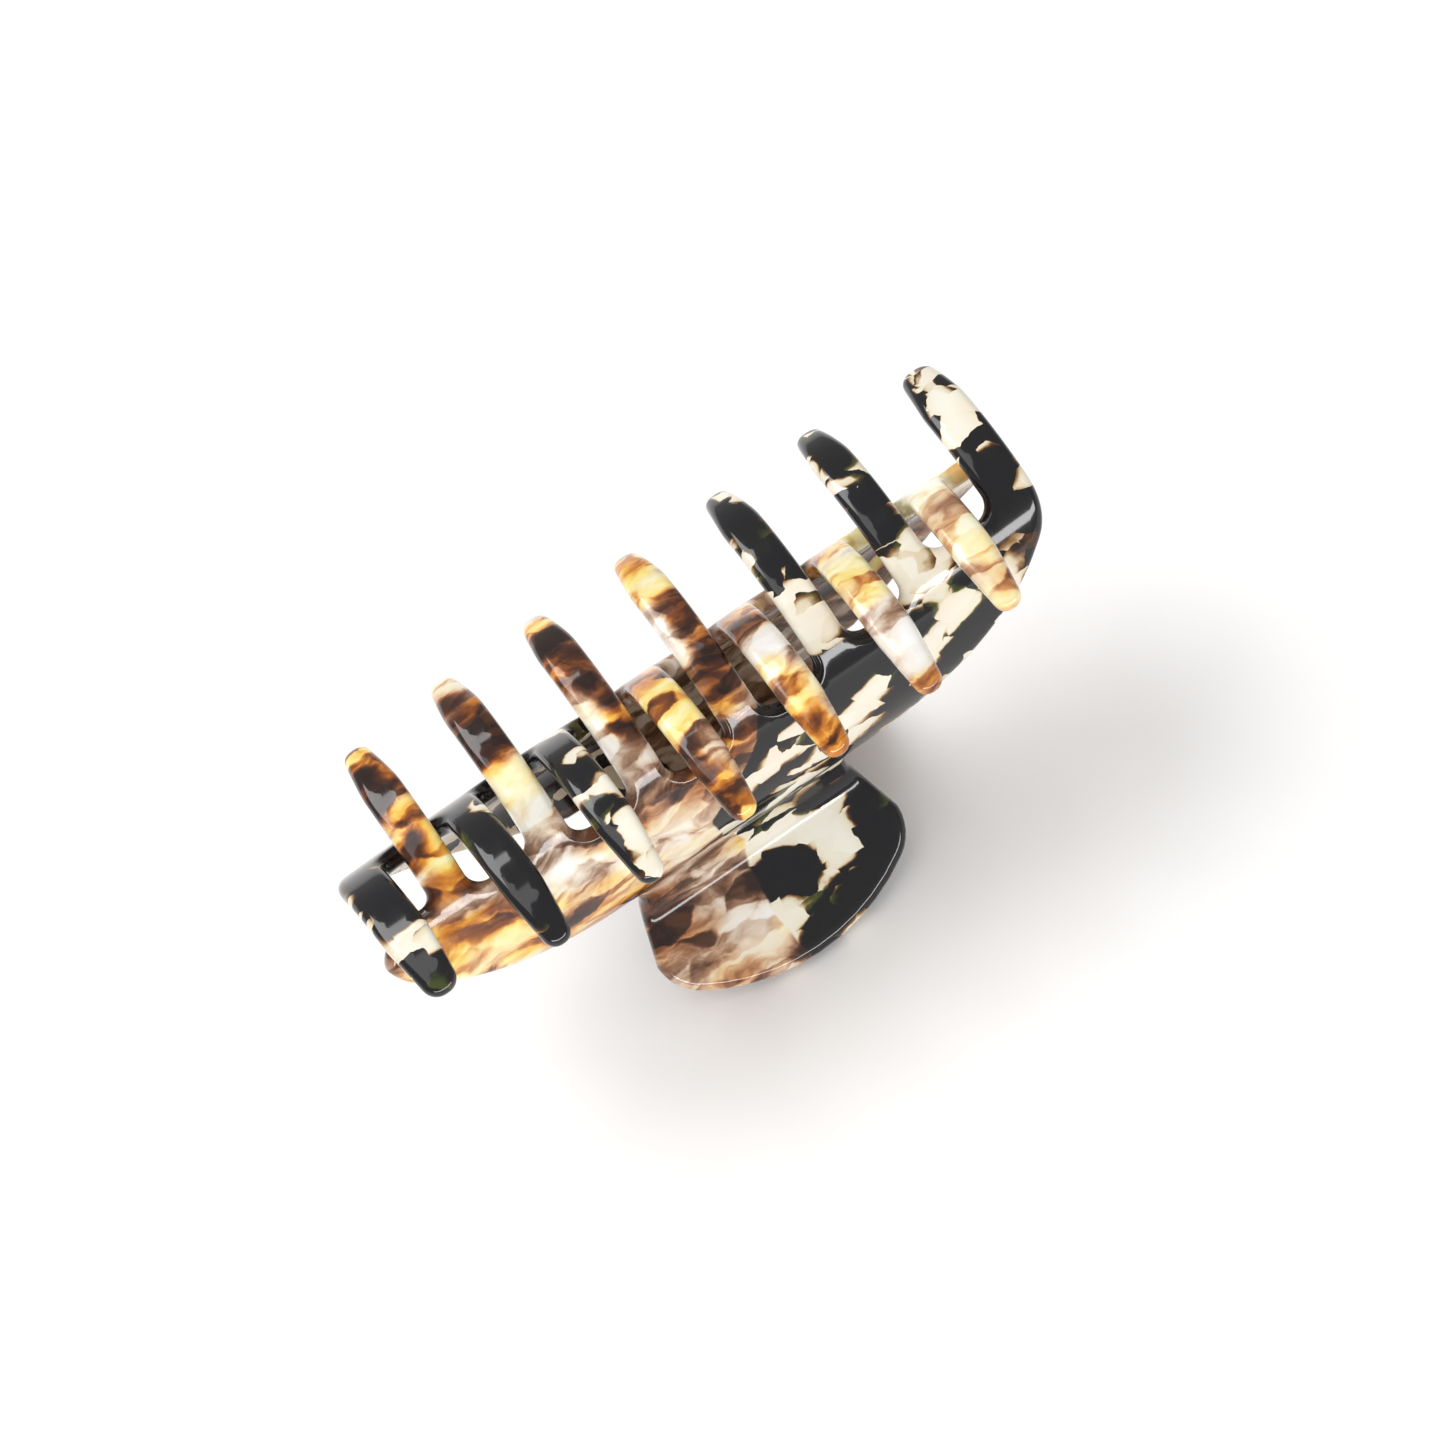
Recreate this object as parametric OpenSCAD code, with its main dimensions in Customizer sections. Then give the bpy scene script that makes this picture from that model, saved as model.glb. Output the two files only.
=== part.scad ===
// Claw hair clip: two identical curved jaws of sheet acetate, turned half a
// turn from each other about the upright axis, joined at the neck by a small
// steel hinge with a torsion spring.
// Millimetres. +Z up, X along the clip, front = -Y. The clip stands closed on
// the lower edges of its two thumb tabs; origin on the floor under the hinge.

/* [Jaw sheet] */
// Length of each jaw, from its flush end to the line its blank end runs past
jaw_len = 112; // [80:1:140]
// How far the blank end runs past that line
blank_extra = 0.8; // [0:0.1:3]
// Thickness of the acetate sheet
sheet = 3.0; // [2.4:0.1:4.5]
// Outer radius the sheet is bent to
arc_r = 20.8; // [16:0.1:26]
// How far behind the middle plane the centre of that bend lies
arc_back = 9.3; // [6:0.1:12]
// Height of the bend centre above the lower edge of the body
body_drop = 9.0; // [4:0.5:12]
// Radius of the long curve that the body's lower edge rises on toward its ends
belly_r = 85; // [70:1:120]
// How far the bottom of that curve would lie below the body's lower edge
belly_drop = 3.3; // [2:0.1:6]
// Radius where the lower edge turns up into the ends of the jaw
body_corner_r = 9; // [4:0.5:14]
// Radius of the corner on the blank end of the jaw
nose_r = 7; // [1:0.5:8]

/* [Teeth] */
// Distance from tooth to tooth; the number of teeth follows from it
pitch = 15.7; // [13:0.1:19]
// Least gap between the flush end tooth and the next tooth of the other jaw
end_extra = 1.6; // [0.5:0.1:3]
// Extra width of the flush end tooth
flush_extra = 1.0; // [0:0.1:2]
// Width of a tooth at its foot
tooth_w = 6.0; // [3:0.1:7]
// Radius of a tooth's round tip
tip_r = 1.9; // [1:0.1:3]
// Length over which a tooth narrows toward its tip
tip_taper = 9.5; // [4:0.5:14]
// Angle of the gap floors round the bend, middle of the jaw
floor_deg = 28; // [20:1:45]
// Extra angle of the gap floors at the flush end of the jaw
floor_rise_deg = 21; // [0:1:26]
// Angle of the tips of the middle teeth round the bend
tip_deg = 134; // [100:1:150]
// Angle of the tip of the tooth at the flush end
tip_flush_deg = 124; // [95:1:140]
// Angle of the tip of the tooth next to the blank end
tip_blank_deg = 124; // [95:1:140]
// Corner radius at the foot of the gaps
gap_corner_r = 2.8; // [0.5:0.1:4]

/* [Neck and thumb tab] */
// Clear distance between the two sheets at the neck
neck_gap = 7.2; // [6.8:0.1:12]
// Width of the neck
neck_w = 35; // [28:0.5:44]
// Height of the straight part of the neck
neck_h = 2.5; // [1:0.1:6]
// Radius of the sheet's middle line in the two neck bends
bend_r = 6.0; // [3.5:0.1:9]
// Slope of the thumb tab, from upright
tab_deg = 48; // [30:1:60]
// Length of the flat part of the thumb tab
tab_len = 16.4; // [10:0.1:24]
// Greatest width of the thumb tab
tab_w = 41; // [34:0.5:60]
// Distance from the start of the flat to the widest place of the tab
tab_wide_at = 5.2; // [1:0.1:10]
// Radius of the two corners of the thumb tab
tab_corner_r = 7.4; // [3:0.1:12]
// Sideways offset of the neck and tab from the middle of the clip
tab_shift = 2.5; // [0:0.1:4]

/* [Hinge] */
// Thickness of the hinge leaves
leaf_t = 0.8; // [0.5:0.1:1.2]
// Width of the hinge leaves
leaf_w = 26; // [22:0.5:30]
// Length of the leaf flange down the thumb tab
leaf_flange = 7.6; // [6:0.1:12]
// Thickness of the ears that carry the pin
ear_t = 1.0; // [0.6:0.1:2]
// Outer radius of the ears round the pin
ear_r = 2.2; // [1.8:0.1:2.6]
// Distance from the middle of the clip to the outside of the outer ears
ear_out = 8.8; // [8:0.1:13]
// Diameter of the hinge pin
pin_d = 2.4; // [1.6:0.1:3]
// Diameter of the pin heads
head_d = 3.8; // [3:0.1:4.4]
// Thickness of the pin heads
head_t = 0.8; // [0.4:0.1:1.5]
// Radial clearance of the turning ears on the pin
run_gap = 0.05; // [0.02:0.01:0.1]
// Sideways clearance between ears, and between ear and spring
side_gap = 0.3; // [0.1:0.05:0.6]
// Half the gap left between the two stop lips with the clip closed
stop_gap = 0.16; // [0.1:0.01:0.3]

/* [Spring] */
// Wire diameter of the torsion spring
wire_d = 0.8; // [0.5:0.05:1.1]
// Outer diameter of the coil
coil_d = 4.8; // [4.4:0.1:5]
// Number of turns
coil_n = 14; // [8:1:16]
// Length of each straight leg, from the pin axis
leg_len = 8.6; // [7:0.1:11]
// Outward lean of the legs
leg_lean = 6; // [0:1:10]

/* [Screws] */
// Diameter of the screw shanks
screw_d = 1.8; // [1.4:0.1:2.2]
// Diameter of the countersunk screw heads
screw_head_d = 3.4; // [2.8:0.1:4]
// Depth the screws reach into the acetate
screw_depth = 2.2; // [1.5:0.1:2.6]
// Distance of the screws from the middle of the leaf
screw_x = 9.4; // [8:0.1:10.5]
// Distance of the screws down the flange
screw_w = 4.6; // [3:0.1:8]
// Radial clearance of the screws in their holes
screw_gap = 0.02; // [0.01:0.01:0.05]

/* [Hidden] */
$fn = 96;
r_mid = arc_r - sheet/2;
arc_in = arc_r - sheet;
neck_y = neck_gap/2 + sheet/2;
// angle where the bend of the body hands over to the neck bend
neck_ang = acos((neck_y + bend_r + arc_back)/(r_mid + bend_r));
drop_b1 = (r_mid + bend_r)*sin(neck_ang);
bend_y = neck_y + bend_r;
// the tab's lowest corner is on the floor: heights are built up from there
tab_tip_z = (tab_len*cos(tab_deg)) + (sheet/2)*sin(tab_deg);
z_b2 = tab_tip_z + bend_r*sin(tab_deg);
z_b1 = z_b2 + neck_h;
z_hinge = z_b2 + neck_h/2;
z_arc = z_b1 + drop_b1;
z_low = z_arc - body_drop;
leaf_y = neck_gap/2 - leaf_t;
x_flush = -(jaw_len/2 - tooth_w/2 - flush_extra/2);
// as many inner teeth as leave room beside the flush end tooth for the teeth
// of the other jaw, which is the same jaw turned half a turn
inner_teeth = floor(2*((-x_flush - tooth_w - flush_extra/2 - end_extra)/pitch - 0.25)) + 1;
// a quarter pitch off the middle, so that the teeth of both jaws alternate evenly
x_next = (0.25 - (inner_teeth - 1)/2)*pitch;
// tooth centres of the back jaw, flush tooth first
tooth_x = concat([x_flush], [for (i = [0:inner_teeth - 1]) x_next + i*pitch]);
x_blank = tooth_x[inner_teeth] + tooth_w/2;
x_end = jaw_len/2 + blank_extra;
belly_z = z_low - belly_drop + belly_r;
// angle, seen from the corner's centre, where each end corner meets the long curve
function corner_x(s) = s > 0 ? x_end - body_corner_r : -jaw_len/2 + body_corner_r;
function corner_z(s) = belly_z - sqrt(pow(belly_r - body_corner_r, 2) - pow(corner_x(s) - tab_shift, 2));
function corner_deg(s) = atan2(corner_z(s) - belly_z, s*(corner_x(s) - tab_shift));
// lean of the narrowing sides, tangent to the round tip
tip_lean = acos(tip_r/sqrt(tooth_w*tooth_w/4 + tip_taper*tip_taper)) - atan(tip_taper/(tooth_w/2));
tab_half = tab_w/2;
tab_cx = tab_half - tab_corner_r;
// big radius of the tab's lower edge, tangent to both corners
tab_arc_r = (tab_cx*tab_cx + (tab_len - tab_wide_at)*(tab_len - tab_wide_at) - tab_corner_r*tab_corner_r)/(2*(tab_len - tab_wide_at - tab_corner_r));
tab_arc_w = tab_len - tab_arc_r;
tan_k = tab_arc_r/(tab_arc_r - tab_corner_r);
tan_x = tab_cx*tan_k;
tan_w = tab_arc_w + (tab_wide_at - tab_arc_w)*tan_k;
ear_in = ear_out - ear_t - side_gap;
coil_room = ear_in - ear_t - side_gap;
coil_r = coil_d/2 - wire_d/2;
coil_step = (2*coil_room - wire_d)/coil_n < wire_d*0.94 ? (2*coil_room - wire_d)/coil_n : wire_d*0.94;
coil_half = coil_step*coil_n/2;
head_cone = (screw_head_d - screw_d)/2;

ACETATE = [0.62, 0.42, 0.20];
STEEL = [0.75, 0.75, 0.77];

// 2-D outline (y, z) pushed along X, centred on x = at
module along_x(len, at = 0) {
  translate([at - len/2, 0, 0]) rotate([90, 0, 90]) linear_extrude(len) children();
}

// 2-D wedge from angle a0 to a1 about the origin
module wedge(a0, a1, r = 60) {
  s = (a1 - a0)/3;
  polygon([[0, 0], [r*cos(a0), r*sin(a0)], [r*cos(a0 + s), r*sin(a0 + s)], [r*cos(a1 - s), r*sin(a1 - s)], [r*cos(a1), r*sin(a1)]]);
}

module band(r_in, r_out, a0, a1) {
  intersection() {
    difference() { circle(r_out); circle(r_in); }
    wedge(a0, a1);
  }
}

// a frame on the bend at angle a: x stays x, y runs round the bend toward the
// tips, z points out of the bend
module bend_frame(a) {
  translate([0, -arc_back, z_arc]) multmatrix([[1, 0, 0, 0], [0, -sin(a), cos(a), r_mid*cos(a)], [0, cos(a), sin(a), r_mid*sin(a)], [0, 0, 0, 1]]) children();
}

// a frame on the flat of the tab: x stays x, y runs down the tab, z points inward
module tab_frame() {
  translate([0, bend_y, z_b2]) multmatrix([[1, 0, 0, 0], [0, sin(tab_deg), -cos(tab_deg), -bend_r*cos(tab_deg)], [0, -cos(tab_deg), -sin(tab_deg), -bend_r*sin(tab_deg)], [0, 0, 0, 1]]) children();
}

// section of the upper jaw: teeth, body, upper neck bend and straight neck
module upper_section() {
  translate([-arc_back, z_arc]) band(arc_in, arc_r, -neck_ang, tip_deg + 2);
  translate([bend_y, z_b1]) band(bend_r - sheet/2 - 0.01, bend_r + sheet/2 + 0.01, 179.5 - neck_ang, 180);
  translate([neck_gap/2, z_b2]) square([sheet, neck_h + 0.2]);
}

// section of the lower bend and the flat tab
module tab_section() {
  translate([bend_y, z_b2]) {
    band(bend_r - sheet/2, bend_r + sheet/2, 180, 180 + tab_deg);
    rotate(180 + tab_deg) translate([bend_r - sheet/2, 0]) square([sheet, tab_len + 4]);
  }
}

// outline of the tab in its own plane: x across, y down the tab
module tab_outline() {
  polygon([[-neck_w/2 - 0.02, -18], [neck_w/2 + 0.02, -18], [neck_w/2 + 0.02, -tab_wide_at], [tab_half, tab_wide_at],
           [tan_x, tan_w], [-tan_x, tan_w], [-tab_half, tab_wide_at], [-neck_w/2 - 0.02, -tab_wide_at]]);
  for (s = [-1, 1]) translate([s*tab_cx, tab_wide_at]) circle(tab_corner_r);
  intersection() {
    translate([0, tab_arc_w]) circle(tab_arc_r);
    translate([-tan_x, tab_wide_at]) square([2*tan_x, tab_len]);
  }
}

// a gap with rounded lower corners, open upward; x across, y up the tooth
module gap_outline(xa, xb) {
  difference() {
    translate([xa, 0]) square([xb - xa, arc_r + 4]);
    translate([xa - 1, -1]) foot_fill();
    translate([xb + 1, -1]) mirror([1, 0]) foot_fill();
  }
}

// the material left in a corner of a gap
module foot_fill() {
  difference() {
    square(gap_corner_r + 1);
    translate([gap_corner_r + 1, gap_corner_r + 1]) circle(gap_corner_r*1.01);
  }
}

// cuts everything beyond the gap floor at angle a, between places xa and xb
module gap_cut(xa, xb, a) {
  bend_frame(a) translate([0, 0, -arc_r*1.3]) linear_extrude(arc_r*1.3 + 4) gap_outline(xa, xb);
}

// what is cut away under the body's lower edge, drawn as (x, z)
module belly_waste() {
  difference() {
    translate([-jaw_len, z_low - 30]) square([2*jaw_len, z_arc - z_low + 42]);
    translate([tab_shift, belly_z]) circle(belly_r);
    translate([-jaw_len, z_arc + 8]) square([2*jaw_len, 20]);
    translate([tab_shift - neck_w/2 - 1.5, z_low - 31]) square([neck_w + 3, 40]);
  }
  for (s = [-1, 1]) translate([corner_x(s), corner_z(s)]) mirror([s > 0 ? 0 : 1, 0]) difference() {
    wedge(corner_deg(s), 0, 30);
    circle(body_corner_r*1.002);
  }
}

// narrows a tooth toward its tip and rounds the tip, which ends at angle a
module tip_cut(at, a, tip_r = tip_r) {
  foot = tip_taper + 1.5;
  foot_w = (tip_r + foot*sin(tip_lean))/cos(tip_lean);
  bend_frame(a - tip_r/r_mid*180/PI) translate([at, 0, -8]) linear_extrude(14) difference() {
    translate([-tooth_w, -foot]) square([2*tooth_w, foot + 16]);
    polygon([[-foot_w, -foot - 0.5], [foot_w, -foot - 0.5], [foot_w, -foot], [tip_r*cos(tip_lean), tip_r*sin(tip_lean)],
             [-tip_r*cos(tip_lean), tip_r*sin(tip_lean)], [-foot_w, -foot]]);
    circle(tip_r*1.003);
  }
}

// gap floor angle at place x along the jaw: lowest near the tab, rising to both ends
function floor_at(x) = floor_deg + floor_rise_deg*pow((x - tab_shift)/(jaw_len/2 - pitch/2 + tab_shift), 2);

function tip_at(i) = i == 0 ? tip_flush_deg : i == inner_teeth ? tip_blank_deg : tip_deg;

module jaw() {
  color(ACETATE) difference() {
    union() {
      difference() {
        along_x(jaw_len + blank_extra, blank_extra/2) upper_section();
        // below the lower edge of the body only the neck goes on
        translate([-jaw_len, -5, z_low - 40]) cube([jaw_len + tab_shift - neck_w/2, 40, 40]);
        translate([tab_shift + neck_w/2, -5, z_low - 40]) cube([jaw_len, 40, 40]);
        // lower edge rising on a long curve, turned up into the ends
        translate([0, 42, 0]) rotate([90, 0, 0]) linear_extrude(48) belly_waste();
        for (i = [0:inner_teeth - 1]) gap_cut(tooth_x[i] + tooth_w/2 + (i == 0 ? flush_extra/2 : 0), tooth_x[i + 1] - tooth_w/2, floor_at((tooth_x[i] + tooth_x[i + 1])/2));
        // blank end: the sheet stops at the level of the gaps, with a rounded nose
        gap_cut(x_blank, x_end + 12, floor_at(x_blank) - 1.5);
        bend_frame(floor_at(x_blank) - 1.5) translate([x_end - nose_r, -nose_r, -8]) linear_extrude(13) difference() {
          square(nose_r + 1);
          circle(nose_r*1.01);
        }
        for (i = [0:inner_teeth]) tip_cut(tooth_x[i], tip_at(i), tip_r + (i == 0 ? flush_extra/2 : 0));
      }
      intersection() {
        along_x(jaw_len, tab_shift) tab_section();
        translate([tab_shift, 0, 0]) tab_frame() translate([0, 0, -30]) linear_extrude(50) tab_outline();
      }
    }
    screw_places() translate([0, 0, -screw_depth - 0.15]) cylinder(d = screw_d + 2*screw_gap, h = screw_depth + 1);
  }
}

// frames at the two screws of a leaf: z points inward, out of the acetate
module screw_places() {
  for (s = [-1, 1]) tab_frame() translate([s*screw_x, screw_w, sheet/2]) children();
}

// one hinge leaf; ear = distance of the outer face of its ears from the middle
module leaf(ear, bore) {
  color(STEEL) difference() {
    union() {
      along_x(leaf_w) {
        translate([leaf_y, z_b2]) square([leaf_t, z_hinge + ear_r + leaf_t + 0.9 - z_b2]);
        // stop lip: meets its twin over the pin when the clip is closed
        translate([stop_gap, z_hinge + ear_r + 0.9]) square([leaf_y + leaf_t - stop_gap, leaf_t]);
        translate([bend_y, z_b2]) {
          band(bend_r + sheet/2, bend_r + sheet/2 + leaf_t, 180, 180 + tab_deg);
          rotate(180 + tab_deg) translate([bend_r + sheet/2, 0]) square([leaf_t, leaf_flange]);
        }
      }
      for (s = [-1, 1]) along_x(ear_t, s*(ear - ear_t/2)) {
        translate([0, z_hinge]) circle(ear_r);
        translate([0, z_hinge - ear_r]) square([leaf_y + leaf_t/2, 2*ear_r]);
      }
    }
    translate([-20, 0, z_hinge]) rotate([0, 90, 0]) cylinder(d = bore, h = 40);
    screw_places() {
      translate([0, 0, -1]) cylinder(d = screw_d + 2*screw_gap, h = 4);
      translate([0, 0, leaf_t - head_cone]) cylinder(r1 = screw_d/2 + screw_gap, r2 = screw_head_d/2 + screw_gap, h = head_cone);
    }
  }
}

// countersunk screws with a cross recess, heads flush with the leaf
module screws() {
  color(STEEL) screw_places() difference() {
    union() {
      translate([0, 0, -screw_depth]) cylinder(d = screw_d, h = screw_depth + leaf_t - head_cone);
      translate([0, 0, leaf_t - head_cone]) cylinder(r1 = screw_d/2, r2 = screw_head_d/2, h = head_cone);
    }
    for (a = [0, 90]) rotate(a) translate([-0.9, -0.17, leaf_t - 0.45]) cube([1.8, 0.34, 1]);
  }
}

module front_jaw() rotate([0, 0, 180]) jaw();
module back_jaw() jaw();
module front_leaf() rotate([0, 0, 180]) leaf(ear_out, pin_d + 2*screw_gap);
module back_leaf() leaf(ear_in, pin_d + 2*run_gap);
module front_screws() rotate([0, 0, 180]) screws();
module back_screws() screws();

// hinge pin, headed at both ends
module hinge_pin() {
  color(STEEL) translate([0, 0, z_hinge]) rotate([0, 90, 0]) {
    translate([0, 0, -ear_out - head_t/2]) cylinder(d = pin_d, h = 2*ear_out + head_t);
    for (s = [-1, 1]) translate([0, 0, s*(ear_out + 0.05 + head_t/2) - head_t/2]) cylinder(d = head_d, h = head_t);
  }
}

// torsion spring: close-wound turns round the pin, one leg on each leaf
module torsion_spring() {
  color(STEEL) translate([0, 0, z_hinge]) {
    for (i = [0:coil_n]) translate([-coil_half + i*coil_step, 0, 0]) rotate([0, 90, 0])
      rotate_extrude() translate([coil_r, 0]) circle(wire_d/2);
    rotate([0, 90, 0]) translate([0, 0, -coil_half]) difference() {
      cylinder(r = coil_r + wire_d*0.3, h = 2*coil_half);
      translate([0, 0, -1]) cylinder(r = coil_r - wire_d*0.3, h = 2*coil_half + 2);
    }
    for (s = [-1, 1]) translate([s*coil_half, s*coil_r, 0]) rotate([s*leg_lean, 0, 0])
      translate([0, 0, -leg_len]) cylinder(d = wire_d*0.97, h = leg_len + 0.25);
  }
}

front_jaw();
back_jaw();
front_leaf();
back_leaf();
hinge_pin();
torsion_spring();
front_screws();
back_screws();
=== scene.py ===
# %% [markdown]
# # A claw hair clip of cut and bent acetate
# The clip has two equal jaws, sawn from a sheet of cellulose acetate and bent
# while warm, and a small steel hinge between their necks. This lesson builds
# the visible jaws as flat blanks that a Geometry Nodes tree bends, gives them
# a layered acetate finish, and dresses the steel parts of the hinge.

# %% Load the fixed frame
import math
import bmesh
import bpy
import numpy as np
from mathutils import Matrix, Vector, geometry


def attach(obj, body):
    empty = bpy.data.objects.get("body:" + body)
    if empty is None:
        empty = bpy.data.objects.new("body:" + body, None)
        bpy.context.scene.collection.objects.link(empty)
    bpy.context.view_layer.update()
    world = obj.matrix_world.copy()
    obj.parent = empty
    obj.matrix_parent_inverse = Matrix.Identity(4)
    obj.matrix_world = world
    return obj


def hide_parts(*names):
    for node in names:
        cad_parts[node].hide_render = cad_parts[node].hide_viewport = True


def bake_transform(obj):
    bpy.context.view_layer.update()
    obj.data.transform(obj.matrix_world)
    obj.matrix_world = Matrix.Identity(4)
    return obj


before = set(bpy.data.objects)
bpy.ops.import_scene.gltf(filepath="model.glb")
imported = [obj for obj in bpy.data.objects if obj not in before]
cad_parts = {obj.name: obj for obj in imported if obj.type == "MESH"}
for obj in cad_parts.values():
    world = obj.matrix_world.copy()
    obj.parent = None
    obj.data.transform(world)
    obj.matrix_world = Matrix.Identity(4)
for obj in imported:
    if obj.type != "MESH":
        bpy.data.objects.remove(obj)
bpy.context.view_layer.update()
MM = 0.001

# %% [markdown]
# ## One small language for node trees
# Both the bending tree and the finishes are arithmetic on sockets. The class
# below wraps a socket, so that `a * 2 + b` adds Math nodes, and one method
# makes every other node from its type, its settings and its inputs.

# %% A socket that does arithmetic
class Sock:
    """A node socket that can be used in Python expressions."""

    def __init__(self, tree, socket):
        self.tree, self.socket = tree, socket

    def _math(self, operation, *values):
        return node(self.tree, "ShaderNodeMath", dict(operation=operation), values)[0]

    def __add__(self, o): return self._math("ADD", self, o)
    def __radd__(self, o): return self._math("ADD", o, self)
    def __sub__(self, o): return self._math("SUBTRACT", self, o)
    def __rsub__(self, o): return self._math("SUBTRACT", o, self)
    def __mul__(self, o): return self._math("MULTIPLY", self, o)
    def __rmul__(self, o): return self._math("MULTIPLY", o, self)
    def __truediv__(self, o): return self._math("DIVIDE", self, o)
    def sin(self): return self._math("SINE", self)
    def cos(self): return self._math("COSINE", self)
    def clip(self, lo, hi): return self._math("MINIMUM", self._math("MAXIMUM", self, lo), hi)

    def step(self, lo, hi):
        """0 below lo, 1 above hi, straight between."""
        return node(self.tree, "ShaderNodeMapRange", dict(clamp=True), {"Value": self, "From Min": lo, "From Max": hi})[0]


def node(tree, kind, settings=None, values=()):
    """Adds a node; values are by place or by socket name. Returns its outputs as Socks."""
    n = tree.nodes.new(kind)
    for key, value in (settings or {}).items():
        if key == "ramp":
            ramp = n.color_ramp
            while len(ramp.elements) < len(value):
                ramp.elements.new(0.5)
            for e, (at, colour) in zip(ramp.elements, value):
                e.position, e.color = at, (*colour, 1.0)
        else:
            setattr(n, key, value)
    pairs = values.items() if isinstance(values, dict) else enumerate(values)
    for key, value in pairs:
        if value is None:
            continue
        socket = n.inputs[key]
        if isinstance(value, Sock):
            tree.links.new(value.socket, socket)
        else:
            socket.default_value = value
    return [Sock(tree, s) for s in n.outputs if s.enabled]


def blend_colour(tree, share, a, b):
    """Colour a where share is 0, b where it is 1."""
    n = tree.nodes.new("ShaderNodeMix")
    n.data_type = "RGBA"
    for socket, value in ((n.inputs[0], share), (n.inputs[6], a), (n.inputs[7], b)):
        if isinstance(value, Sock):
            tree.links.new(value.socket, socket)
        else:
            socket.default_value = (*value, 1.0) if isinstance(value, tuple) else value
    return Sock(tree, n.outputs[2])


print("node helpers ready")

# %% [markdown]
# ## Camera, floor and light
# The clip stands on its thumb tabs and is looked down on, with its long axis
# climbing across the picture. A long lens keeps the teeth almost parallel. A
# white floor, one large soft lamp from behind on the left and a low strip in
# front give the soft shadow and the bright lines on the bends.

# %% Camera
AZIMUTH, ELEVATION, ROLL = -9.74, 58.0, 25.9
DISTANCE = 1.727
PIXELS_PER_M = 7150.0
IMAGE = 1445
TARGET = Vector((0.0, 0.0, 0.030))
SHIFT = (0.0039, 0.0199)


def look_from(azimuth, elevation):
    a, e = math.radians(azimuth), math.radians(elevation)
    return Vector((math.sin(a) * math.cos(e), -math.cos(a) * math.cos(e), math.sin(e)))


def add_camera():
    back = look_from(AZIMUTH, ELEVATION)
    right = Vector((math.cos(math.radians(AZIMUTH)), math.sin(math.radians(AZIMUTH)), 0))
    up = back.cross(right)
    turn = math.radians(ROLL)
    across = right * math.cos(turn) - up * math.sin(turn)
    upward = right * math.sin(turn) + up * math.cos(turn)
    data = bpy.data.cameras.new("camera")
    data.sensor_width = 36.0
    data.lens = data.sensor_width * DISTANCE * PIXELS_PER_M / IMAGE
    data.clip_start, data.clip_end = 0.05, 20
    data.shift_x, data.shift_y = SHIFT
    cam = bpy.data.objects.new("camera", data)
    bpy.context.collection.objects.link(cam)
    cam.matrix_world = Matrix.LocRotScale(TARGET + back * DISTANCE, Matrix((across, upward, back)).transposed(), None)
    bpy.context.scene.camera = cam
    return cam


camera = add_camera()
print("camera lens", round(camera.data.lens, 1), "mm")

# %% Floor, lamps and surroundings
def add_lamp(name, azimuth, elevation, distance, size, power, colour=(1, 1, 1)):
    """A soft rectangular lamp that faces the clip."""
    data = bpy.data.lights.new(name, "AREA")
    data.shape, data.size, data.size_y = "RECTANGLE", size[0], size[1]
    data.energy, data.color = power, colour
    lamp = bpy.data.objects.new(name, data)
    lamp.location = TARGET + look_from(azimuth, elevation) * distance
    lamp.rotation_euler = (TARGET - lamp.location).to_track_quat("-Z", "Y").to_euler()
    bpy.context.collection.objects.link(lamp)
    return lamp


add_lamp("back_softbox", 215, 55, 0.9, (0.6, 0.6), 6.2)
add_lamp("front_strip", -4, 16, 0.7, (0.9, 0.09), 3.2)
add_lamp("top_softbox", -60, 75, 0.9, (0.5, 0.5), 1.4)

world = bpy.data.worlds.new("studio")
bpy.context.scene.world = world
world.use_nodes = True
world.node_tree.nodes["Background"].inputs["Color"].default_value = (1.0, 0.99, 0.98, 1.0)
world.node_tree.nodes["Background"].inputs["Strength"].default_value = 0.46

floor_mesh = bpy.data.meshes.new("floor")
floor_mesh.from_pydata([(-2, -2, 0), (2, -2, 0), (2, 2, 0), (-2, 2, 0)], [], [(0, 1, 2, 3)])
floor = bpy.data.objects.new("floor", floor_mesh)
bpy.context.collection.objects.link(floor)
floor_paint = bpy.data.materials.new("floor_white")
floor_paint.use_nodes = True
floor_paint.node_tree.nodes["Principled BSDF"].inputs["Base Color"].default_value = (0.93, 0.92, 0.915, 1)
floor_paint.node_tree.nodes["Principled BSDF"].inputs["Roughness"].default_value = 0.9
floor_mesh.materials.append(floor_paint)
bpy.context.scene.view_settings.view_transform = "Standard"
print("stage set")

# %% [markdown]
# ## The sheet and its section
# A jaw starts as a flat sheet 3 mm thick. Seen from the end, the finished jaw
# is one line of five stretches: the flat thumb tab, a bend, the straight neck,
# a bend the other way and one long arc that ends in the teeth. Every stretch
# has its length, so a place on the sheet is (x, s): x along the clip, s up the
# line, with s = 0 where the long arc begins.

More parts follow.
